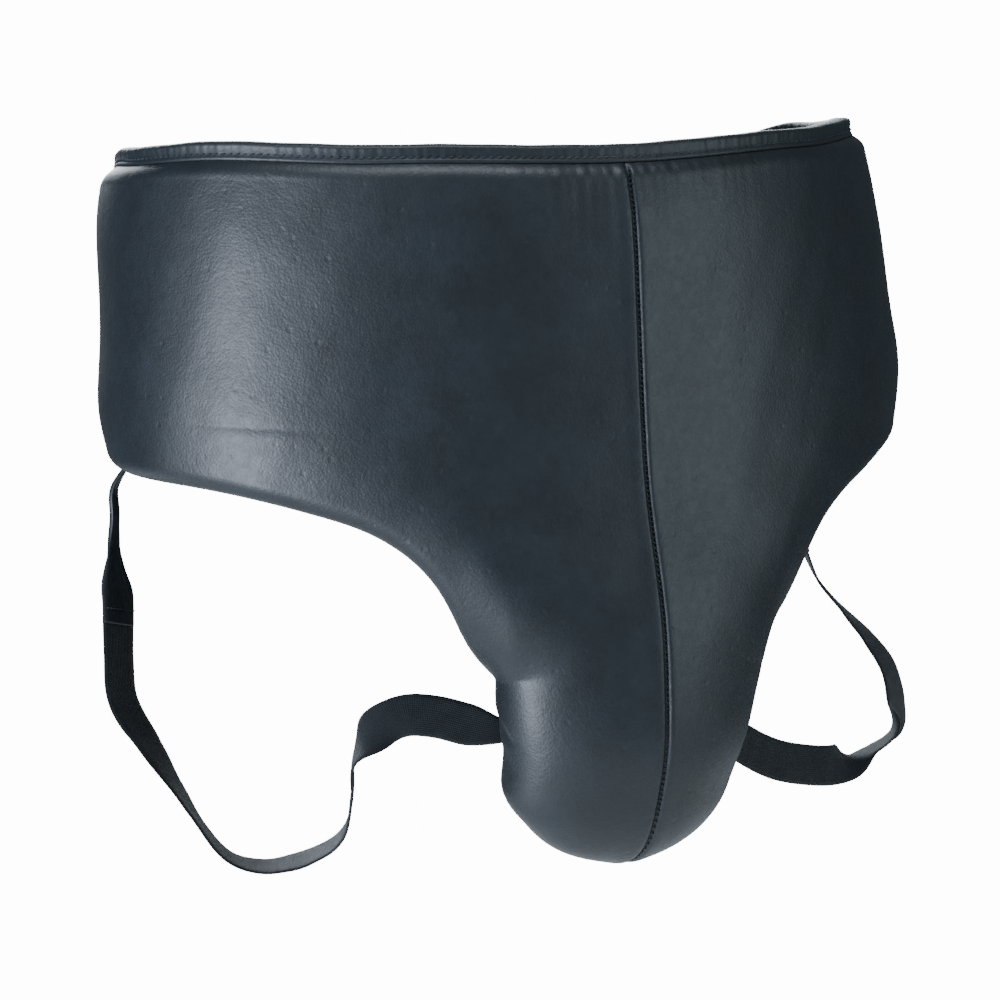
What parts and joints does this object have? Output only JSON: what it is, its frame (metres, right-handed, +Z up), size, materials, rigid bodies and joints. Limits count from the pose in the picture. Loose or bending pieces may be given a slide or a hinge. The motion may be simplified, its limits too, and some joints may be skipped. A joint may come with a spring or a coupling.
{
  "type": "groin protector",
  "caption": "Padded leather-covered hip band that narrows at the front to a moulded groin cup, with an elastic leg strap on each side and an overlapping rear waistband.",
  "frame": {"origin": "middle of the waist opening, level with the top of the band at the hips", "axes": "+X towards the wearer's left, +Y towards the wearer's back, +Z up"},
  "size_m": [0.4338, 0.2756, 0.345],
  "materials": {
    "black_leather": "satin",
    "black_elastic": "matte",
    "lining_cloth": "matte",
    "foam": "matte",
    "cup_plastic": "satin",
    "rubber": "matte",
    "black_thread": "matte"
  },
  "bodies": {
    "band": {"left_cover_panel": "black_leather", "left_lining_panel": "lining_cloth", "left_wing_foam": "foam", "left_wing_end_patch": "black_leather", "left_band_strap_patch": "black_leather", "left_cup_strap_patch": "black_leather", "left_waist_elastic": "black_elastic", "right_cover_panel": "black_leather", "right_lining_panel": "lining_cloth", "right_wing_foam": "foam", "right_wing_end_patch": "black_leather", "right_band_strap_patch": "black_leather", "right_cup_strap_patch": "black_leather", "right_waist_elastic": "black_elastic", "belly_foam": "foam", "cup_foam": "foam", "top_binding": "black_leather", "binding_stitching": "black_thread", "centre_seam_stitching": "black_thread", "cup_shell": "cup_plastic", "cup_pocket": "lining_cloth", "cup_rim_cushion": "rubber", "crotch_piece": "black_leather", "loop_patch": "black_leather"},
    "left_leg_strap": {"left_leg_strap_tab": "black_leather", "left_leg_strap_elastic": "black_elastic"},
    "right_leg_strap": {"right_leg_strap_tab": "black_leather", "right_leg_strap_elastic": "black_elastic"},
    "closure": {"closure_flap": "black_leather", "hook_patch": "black_leather", "closure_pull_tab": "black_leather"}
  },
  "joints": [
    {"name": "left_leg_strap_swing", "type": "hinge", "parent": "band", "child": "left_leg_strap", "pos_m": [0.1786, 0.0372, -0.1493], "axis": [-0.5852, -0.6103, -0.5339], "range_deg": [-28, 22], "stiffness_Nm_per_rad": 0.1},
    {"name": "right_leg_strap_swing", "type": "hinge", "parent": "band", "child": "right_leg_strap", "pos_m": [-0.1786, 0.0372, -0.1493], "axis": [0.5859, -0.611, -0.5323], "range_deg": [-28, 28], "stiffness_Nm_per_rad": 0.1},
    {"name": "waist_closure_hinge", "type": "hinge", "parent": "band", "child": "closure", "pos_m": [-0.052, 0.1083, 0], "axis": [0, 0, 1], "range_deg": [0, 95]}
  ]
}
